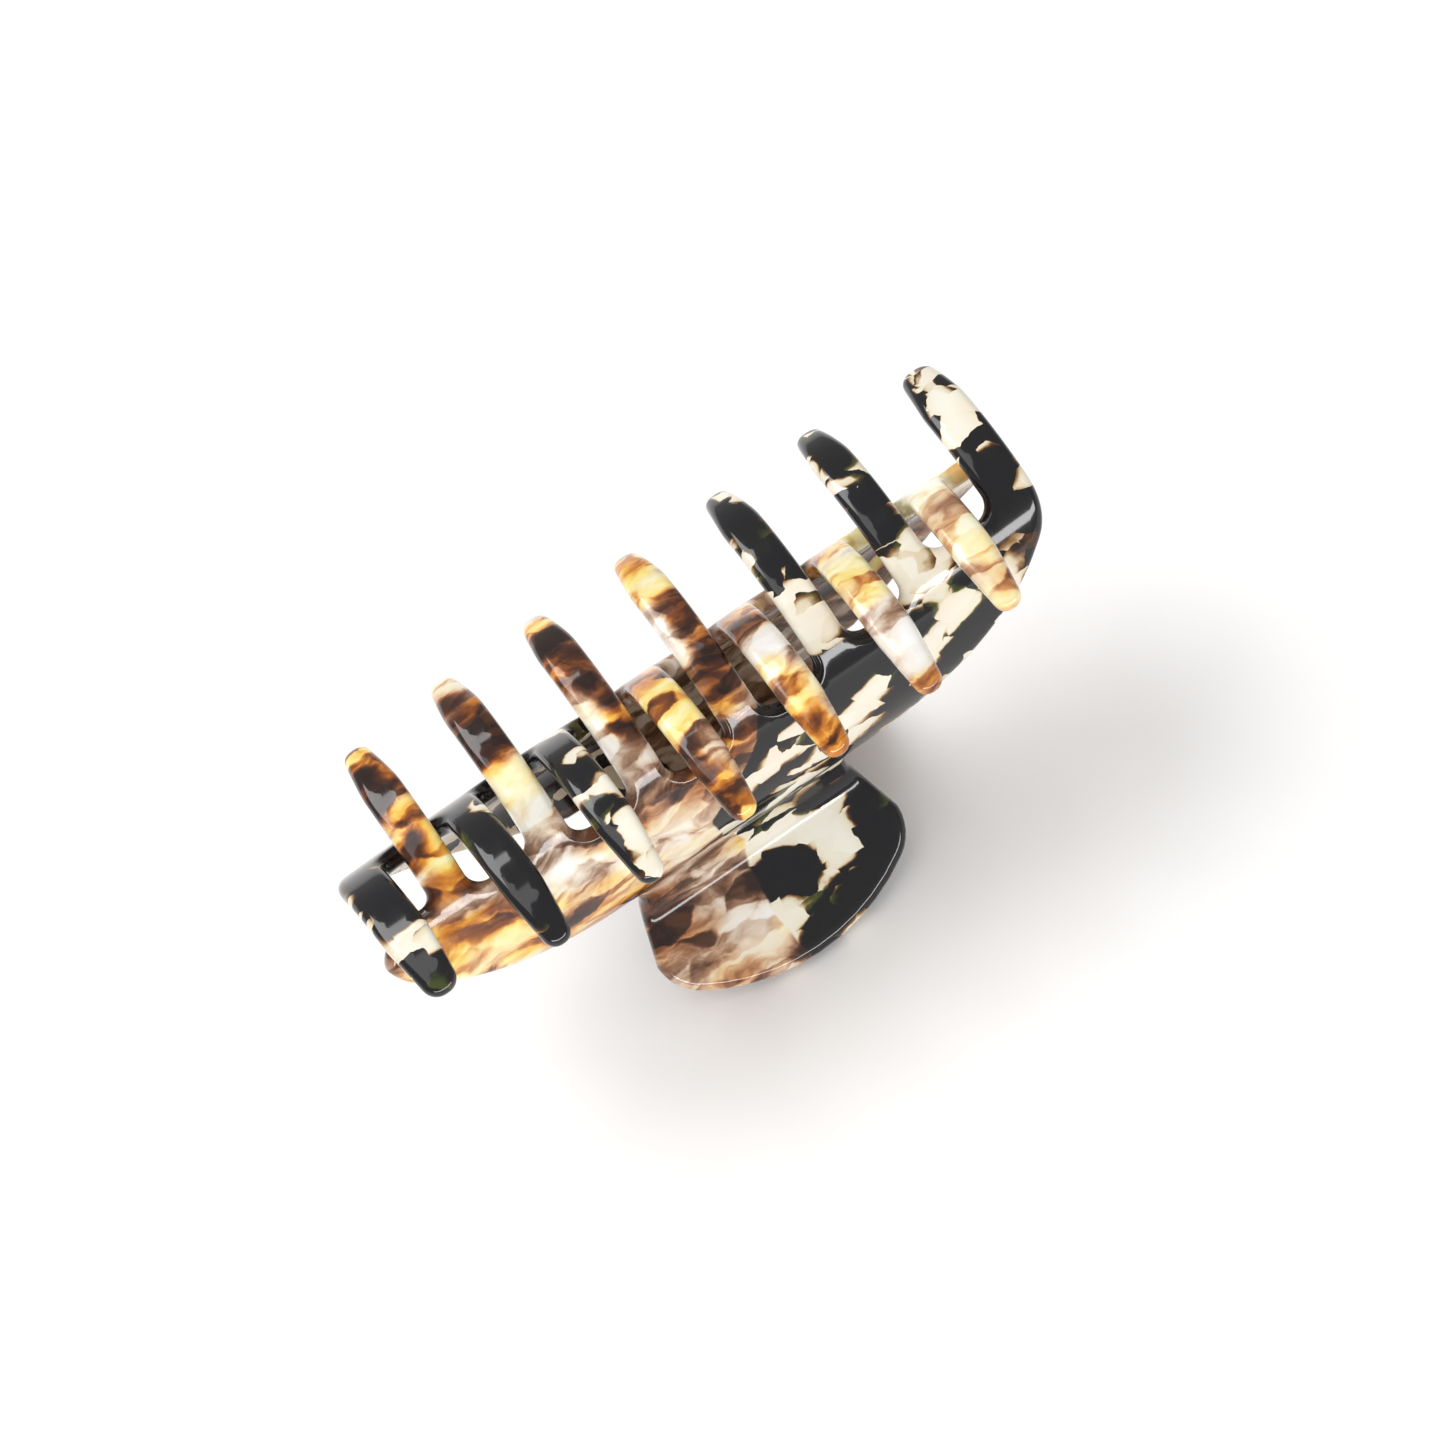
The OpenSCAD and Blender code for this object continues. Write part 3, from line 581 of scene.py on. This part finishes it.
def bending_tree():
    inputs = [(n, "NodeSocketFloat") for n in ("Arc radius", "Neck bend radius", "Neck height", "Tab length", "Tooth gathering", "End hug")]
    tree, given, exit_node = new_tree("bend_sheet", inputs + [("Finish", "NodeSocketMaterial")])
    position = node(tree, "GeometryNodeInputPosition")[0]
    x, s, lift = node(tree, "ShaderNodeSeparateXYZ", values=[position])
    arc_r, bend_r = given["Arc radius"], given["Neck bend radius"]
    start = TAB_ANG + math.pi / 2
    # stretches: first place, length, direction at its start, radius (signed), or None where straight
    s0 = s - S_END
    y, z, turned = 0.0, 0.0, start
    stretches = [(0.0, given["Tab length"], start, None), (TAB_LEN, LEN_LOWER_BEND, start, bend_r * -1),
                 (TAB_LEN + LEN_LOWER_BEND, given["Neck height"], math.pi / 2, None),
                 (-S_END - LEN_UPPER_BEND, LEN_UPPER_BEND, math.pi / 2, bend_r * -1),
                 (-S_END, 80.0, math.pi / 2 - NECK_ANG, arc_r)]
    for at, length, heading, radius in stretches:
        walked = (s0 - at).clip(0.0, length)
        if radius is None:
            y = walked * math.cos(heading) + y
            z = walked * math.sin(heading) + z
        else:
            angle = walked / radius
            now = angle + heading
            y = radius * (now.sin() - math.sin(heading)) + y
            z = radius * (math.cos(heading) - now.cos()) + z
            turned = angle + turned
    y = y + (BEND_Y - BEND_R * math.cos(TAB_ANG) + TAB_LEN * math.sin(TAB_ANG))
    z = z + (Z_B2 - BEND_R * math.sin(TAB_ANG) - TAB_LEN * math.cos(TAB_ANG))
    y = y + turned.sin() * lift
    z = z - turned.cos() * lift
    # the teeth gather a little toward the middle, and the ends hug inward
    up = (s - 22.0).clip(0.0, 40.0) / 40.0
    away = x / 55.0
    y = y - given["End hug"] * away * away * away * away * (1 - up) * s.step(-4.0, 6.0)
    x = x * (1 - given["Tooth gathering"] * up)
    place = node(tree, "ShaderNodeCombineXYZ", values=[x * MM, y * MM, z * MM])[0]
    moved = node(tree, "GeometryNodeSetPosition", values={"Geometry": given["Geometry"], "Position": place})[0]
    real = node(tree, "GeometryNodeRealizeInstances", values=[moved])[0]
    done = node(tree, "GeometryNodeSetMaterial", values={"Geometry": real, "Material": given["Finish"]})[0]
    tree.links.new(done.socket, exit_node.inputs[0])
    return tree


def run_tree(name, mesh, tree, values):
    """Runs a tree on a mesh and returns a plain object of its result."""
    obj = bpy.data.objects.new(name, mesh)
    bpy.context.collection.objects.link(obj)
    modifier = obj.modifiers.new("tree", "NODES")
    modifier.node_group = tree
    for item in tree.interface.items_tree:
        if item.in_out == "INPUT" and item.name in values:
            modifier[item.identifier] = values[item.name]
    bpy.context.view_layer.update()
    result = bpy.data.meshes.new_from_object(obj.evaluated_get(bpy.context.evaluated_depsgraph_get()))
    obj.modifiers.remove(modifier)
    obj.data = result
    result.name = name
    return obj


def shade_smooth(obj):
    obj.data.polygons.foreach_set("use_smooth", [True] * len(obj.data.polygons))


bend_sheet = bending_tree()
print("bending tree of", len(bend_sheet.nodes), "nodes")

# %% [markdown]
# ## The acetate finish
# The pattern lies in the sheet, so it is drawn on the sheet's own map and
# follows the bends. Both slabs use the chips' tone, broken up by noise. In
# the calico the tone picks black or ivory, with a thin brown and green halo
# where chips fused. In the tortoise it runs through a ramp from dark brown
# over amber and yellow to pearl, with fine silky streaks.

# %% Acetate
def acetate(name, seed):
    material = bpy.data.materials.new(name)
    material.use_nodes = True
    tree = material.node_tree
    shader = tree.nodes["Principled BSDF"]
    plan = node(tree, "ShaderNodeAttribute", dict(attribute_name="plan"))
    tone, warmth, slab = node(tree, "ShaderNodeSeparateColor", values=[plan[0]])
    held = plan[3] if len(plan) > 3 else plan[-1]
    sheet_map = node(tree, "ShaderNodeUVMap", dict(uv_map="sheet"))[0]

    def noise(scale, detail=3.0, rough=0.5, stretch=(1, 1), turn=0.0, twist=0.0, shift=0.0, source=None):
        place = node(tree, "ShaderNodeMapping", values={"Vector": source or sheet_map, "Location": (shift + seed, shift, 0.0),
                     "Rotation": (0, 0, math.radians(turn)), "Scale": (stretch[0], stretch[1], 1)})[0]
        return node(tree, "ShaderNodeTexNoise", values={"Vector": place, "Scale": scale, "Detail": detail, "Roughness": rough, "Distortion": twist})

    # a map whose places wander, so that chips get ragged sides
    wander = noise(26, 3, shift=3.1)[1]
    offset = node(tree, "ShaderNodeVectorMath", dict(operation="MULTIPLY_ADD"), [wander, (0.028, 0.028, 0), (-0.014, -0.014, 0)])[0]
    ragged = node(tree, "ShaderNodeVectorMath", dict(operation="ADD"), [sheet_map, offset])[0]

    # calico: angular chips from rounded cells
    place = node(tree, "ShaderNodeMapping", values={"Vector": ragged, "Location": (seed, 0, 0), "Rotation": (0, 0, math.radians(-34)), "Scale": (0.9, 1.6, 1)})[0]
    cell = node(tree, "ShaderNodeTexVoronoi", dict(feature="SMOOTH_F1"), {"Vector": place, "Scale": 25.0, "Smoothness": 0.08, "Randomness": 1.0})[1]
    chip = node(tree, "ShaderNodeSeparateColor", values=[cell])[0]
    broken = noise(30, 2, source=ragged, shift=1.7)[0]
    calico_tone = (tone - 0.5) * (1.1 + held * 0.6) + (chip - 0.56) * 1.25 + (broken - 0.5) * 0.35
    calico = node(tree, "ShaderNodeValToRGB", dict(ramp=[(0.0, (0.006, 0.006, 0.008)), (0.44, (0.008, 0.007, 0.008)), (0.475, (0.075, 0.028, 0.010)),
                  (0.505, (0.28, 0.15, 0.050)), (0.545, (0.66, 0.57, 0.40)), (0.62, (0.75, 0.71, 0.58)), (1.0, (0.80, 0.78, 0.68))]),
                  [calico_tone * 0.5 + 0.5])[0]
    green_at = noise(11, 1, shift=9.4)[0].step(0.56, 0.62) * (1 - ((calico_tone + 0.06) * (calico_tone + 0.06)).step(0.0, 0.02))
    calico = blend_colour(tree, green_at * 0.8, calico, (0.045, 0.065, 0.012))
    clouds = noise(9, 3, shift=5.2)[0].step(0.35, 0.7) * calico_tone.step(0.1, 0.3)
    calico = blend_colour(tree, clouds * 0.35, calico, (0.78, 0.62, 0.50))

    # tortoise: silky streaks through a ramp
    streak = noise(12, 3, 0.5, (0.85, 1.6), -24, 1.5, source=ragged, shift=2.2)[0]
    facet_map = node(tree, "ShaderNodeMapping", values={"Vector": ragged, "Location": (seed, 5.0, 0), "Rotation": (0, 0, math.radians(32)), "Scale": (0.7, 1.7, 1)})[0]
    facet = node(tree, "ShaderNodeSeparateColor", values=[node(tree, "ShaderNodeTexVoronoi", dict(feature="SMOOTH_F1"), {"Vector": facet_map, "Scale": 21.0, "Smoothness": 0.2})[1]])[0]
    silk = noise(90, 4, 0.7, (0.35, 1.6), -24, 0.8, shift=7.5)[0]
    tortoise_tone = (tone - 0.5) * 1.15 + (streak - 0.5) * 1.25 + (facet - 0.5) * 0.46 + (silk - 0.5) * 0.13 + 0.45
    warm_ramp = node(tree, "ShaderNodeValToRGB", dict(ramp=[(0.0, (0.016, 0.006, 0.004)), (0.22, (0.065, 0.018, 0.006)), (0.37, (0.24, 0.066, 0.010)),
                     (0.50, (0.56, 0.20, 0.022)), (0.61, (0.76, 0.43, 0.075)), (0.76, (0.82, 0.66, 0.20)), (1.0, (0.90, 0.83, 0.50))]), [tortoise_tone])[0]
    pearl_ramp = node(tree, "ShaderNodeValToRGB", dict(ramp=[(0.0, (0.030, 0.014, 0.010)), (0.25, (0.12, 0.055, 0.030)), (0.42, (0.32, 0.19, 0.12)),
                      (0.56, (0.56, 0.44, 0.34)), (0.72, (0.76, 0.69, 0.60)), (1.0, (0.92, 0.90, 0.87))]), [tortoise_tone])[0]
    warm_mask = (warmth + (noise(12, 2, shift=12.0)[0] - 0.5) * 0.9).step(0.12, 0.72)
    tortoise = blend_colour(tree, warm_mask, pearl_ramp, warm_ramp)

    # the glued joint
    side = (slab + (noise(14, 2, shift=4.4)[0] - 0.5) * 0.10).step(0.488, 0.512)
    colour = blend_colour(tree, side, calico, tortoise)
    tree.links.new(colour.socket, shader.inputs["Base Color"])
    pearl = tortoise_tone.step(0.55, 0.95) * side * (1 - warm_mask * 0.6)
    tree.links.new((pearl * 0.28).socket, shader.inputs["Metallic"])
    rough = 0.24 + (noise(40, 3, shift=6.1)[0] - 0.5) * 0.12
    tree.links.new(rough.socket, shader.inputs["Roughness"])
    wave = node(tree, "ShaderNodeBump", values={"Strength": 0.05, "Distance": 0.0004, "Height": noise(24, 2, shift=8.8)[0] + silk * pearl * 0.5})[0]
    tree.links.new(wave.socket, shader.inputs["Normal"])
    shader.inputs["Specular IOR Level"].default_value = 0.06
    shader.inputs["Coat Weight"].default_value = 0.9
    shader.inputs["Coat Roughness"].default_value = 0.07
    shader.inputs["Subsurface Weight"].default_value = 0.10
    shader.inputs["Subsurface Radius"].default_value = (0.0016, 0.0011, 0.0007)
    shader.inputs["Subsurface Scale"].default_value = 1.0
    return material


front_acetate = acetate("acetate_front", 0.0)
back_acetate = acetate("acetate_back", 3.7)
print("acetate nodes:", len(front_acetate.node_tree.nodes))

# %% [markdown]
# ## The two jaws
# Both blanks go through the same tree. The front jaw is then turned half a
# turn about the upright axis, which is all that tells it from the back one.

# %% Bend both blanks
FORM = {"Arc radius": ARC_MID - 0.02, "Neck bend radius": BEND_R, "Neck height": NECK_H, "Tab length": TAB_LEN, "Tooth gathering": 0.014, "End hug": 0.5}


def make_jaw(name, mesh, finish, turned, body, cad_node):
    jaw = run_tree(name, mesh, bend_sheet, {**FORM, "Finish": finish})
    if turned:
        jaw.data.transform(Matrix.Rotation(math.pi, 4, "Z"))
    shade_smooth(jaw)
    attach(jaw, body)
    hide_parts(cad_node)
    size = [max(c) - min(c) for c in zip(*[v.co for v in jaw.data.vertices])]
    print(name, "measures", [round(c * 1000, 1) for c in size], "mm,", len(jaw.data.polygons), "faces")
    return jaw


front_jaw = make_jaw("front_jaw_acetate", front_blank, front_acetate, True, "front_side", "front_jaw")
back_jaw = make_jaw("back_jaw_acetate", back_blank, back_acetate, False, "back_side", "back_jaw")

# %% [markdown]
# ## Steel of the hinge
# Leaves and pin are pressed and turned from plain steel. Their engineering
# solids already have the right shape, so each gets a copy with a fine bevel
# that catches the light, and a finish with the faint lines of rolling.

# %% Steel finish
def steel(name, base, rough, stretch):
    material = bpy.data.materials.new(name)
    material.use_nodes = True
    tree = material.node_tree
    shader = tree.nodes["Principled BSDF"]
    place = node(tree, "ShaderNodeTexCoord")[3]
    lines = node(tree, "ShaderNodeMapping", values={"Vector": place, "Scale": stretch})[0]
    grain = node(tree, "ShaderNodeTexNoise", values={"Vector": lines, "Scale": 900.0, "Detail": 4.0})[0]
    worn = node(tree, "ShaderNodeTexNoise", values={"Vector": place, "Scale": 260.0, "Detail": 3.0})[0]
    tint = blend_colour(tree, worn.step(0.3, 0.8), base, tuple(c * 0.78 for c in base))
    tree.links.new(tint.socket, shader.inputs["Base Color"])
    tree.links.new((rough + (grain - 0.5) * 0.22).socket, shader.inputs["Roughness"])
    bump = node(tree, "ShaderNodeBump", values={"Strength": 0.12, "Distance": 0.00005, "Height": grain})[0]
    tree.links.new(bump.socket, shader.inputs["Normal"])
    shader.inputs["Metallic"].default_value = 1.0
    return material


leaf_steel = steel("leaf_steel", (0.62, 0.61, 0.60), 0.30, (0.08, 1.0, 1.0))
wire_steel = steel("wire_steel", (0.55, 0.55, 0.56), 0.22, (1.0, 1.0, 1.0))
print("steel finishes made")


# %% Bevelled copies of the leaves and the pin
def bevelled(cad_name, name, finish, width):
    source = bpy.data.objects[cad_name]
    mesh = source.data.copy()
    mesh.transform(source.matrix_world)
    bm = bmesh.new()
    bm.from_mesh(mesh)
    bmesh.ops.remove_doubles(bm, verts=bm.verts, dist=1e-7)
    bmesh.ops.dissolve_limit(bm, angle_limit=math.radians(1.0), verts=bm.verts, edges=bm.edges)
    sharp = [e for e in bm.edges if len(e.link_faces) == 2 and e.calc_face_angle(0) > math.radians(40)]
    bmesh.ops.bevel(bm, geom=sharp, offset=width, segments=2, affect="EDGES", profile=0.6, clamp_overlap=True)
    bmesh.ops.triangulate(bm, faces=bm.faces)
    bm.to_mesh(mesh)
    bm.free()
    mesh.materials.clear()
    mesh.materials.append(finish)
    piece = bpy.data.objects.new(name, mesh)
    bpy.context.collection.objects.link(piece)
    mesh.polygons.foreach_set("use_smooth", [True] * len(mesh.polygons))
    mesh.set_sharp_from_angle(angle=math.radians(35))
    return piece


for cad_name, body in (("front_leaf", "front_side"), ("back_leaf", "back_side"), ("hinge_pin", "front_side"),
                       ("front_screws", "front_side"), ("back_screws", "back_side")):
    piece = bevelled(cad_name, cad_name + "_steel", leaf_steel, 0.00008)
    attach(piece, body)
    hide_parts(cad_name)
    print(piece.name, len(piece.data.polygons), "faces")

# %% [markdown]
# ## The spring
# A torsion spring is one wire: a leg, close-wound turns round the pin and
# another leg. A spiral swept with a round profile is how it is really wound,
# so Geometry Nodes sweep the wire along one path. It runs from one jaw to the
# other along the pin; on the real clip, opening the jaws winds it up. Here the
# wire is swept once and is not tied to either jaw.

# %% The wire's path
WIRE_D, COIL_D, TURNS, LEG, LEAN = 0.8, 4.8, 14, 8.6, 6.0
COIL_R = COIL_D / 2 - WIRE_D / 2
COIL_HALF = 5.26


def spring_path():
    """Leg, turns and leg as points in millimetres; the legs lie on the leaves."""
    points = []
    lean = math.radians(LEAN)
    for side in (-1, 1):
        foot = Vector((side * COIL_HALF, side * COIL_R, Z_HINGE))
        leg = [foot + Vector((0, side * math.sin(lean), -math.cos(lean))) * LEG * k / 6 for k in range(6, 0, -1)]
        points.append(leg if side < 0 else leg[::-1])
    turn_points = []
    half_turns = TURNS - 1 + 0.5
    count = int(half_turns * 24)
    for k in range(count + 1):
        share = k / count
        a = math.pi + 2 * math.pi * half_turns * share
        turn_points.append(Vector((COIL_HALF * (2 * share - 1), COIL_R * math.cos(a), Z_HINGE + COIL_R * math.sin(a))))
    return points[0] + turn_points + points[1]


path = spring_path()
wire_line = bpy.data.meshes.new("wire_line")
wire_line.from_pydata([p * MM for p in path], [(i, i + 1) for i in range(len(path) - 1)], [])
print("wire of", round(sum((b - a).length for a, b in zip(path, path[1:]))), "mm")


# %% Sweep the wire
def sweep_tree():
    tree, given, exit_node = new_tree("sweep_wire", [("Wire radius", "NodeSocketFloat"), ("Sides", "NodeSocketInt"), ("Finish", "NodeSocketMaterial")])
    curve = node(tree, "GeometryNodeMeshToCurve", values=[given["Geometry"]])[0]
    ring = node(tree, "GeometryNodeCurvePrimitiveCircle", values={"Resolution": given["Sides"], "Radius": given["Wire radius"]})[0]
    wire = node(tree, "GeometryNodeCurveToMesh", values={"Curve": curve, "Profile Curve": ring, "Fill Caps": True})[0]
    real = node(tree, "GeometryNodeRealizeInstances", values=[wire])[0]
    done = node(tree, "GeometryNodeSetMaterial", values={"Geometry": real, "Material": given["Finish"]})[0]
    tree.links.new(done.socket, exit_node.inputs[0])
    return tree


spring = run_tree("torsion_spring_wire", wire_line, sweep_tree(), {"Wire radius": WIRE_D / 2 * MM * 0.97, "Sides": 14, "Finish": wire_steel})
shade_smooth(spring)
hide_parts("torsion_spring")
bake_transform(spring)
print("spring:", len(spring.data.polygons), "faces")
